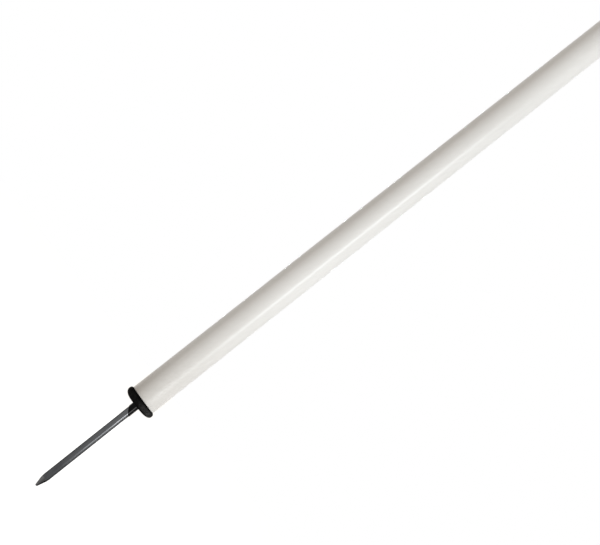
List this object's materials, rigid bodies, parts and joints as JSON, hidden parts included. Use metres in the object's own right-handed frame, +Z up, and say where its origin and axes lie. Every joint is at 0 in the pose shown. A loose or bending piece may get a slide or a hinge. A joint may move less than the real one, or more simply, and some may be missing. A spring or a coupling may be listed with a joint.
{
  "type": "ground spike flagpole",
  "caption": "Slim white plastic flagpole with a domed black foot plug, a rounded top cap and a pointed steel spike that pushes into the ground.",
  "frame": {"origin": "centre of the foot plug's flat ground face, where the pole meets the ground", "axes": "+Z up the pole; +X the side towards the lower right of the picture; -Y towards the viewer"},
  "size_m": [0.0284, 0.0284, 1.607],
  "materials": {
    "tube": "white, semi-gloss extruded plastic",
    "plug": "black, dull moulded plastic",
    "sleeve": "black, glossy",
    "spike": "dark, drawn bar with a ground point"
  },
  "bodies": {
    "root": {"pole_tube": "tube", "foot_plug": "plug", "spike_sleeve": "sleeve", "ground_spike": "spike", "top_cap": "plug"}
  },
  "joints": []
}
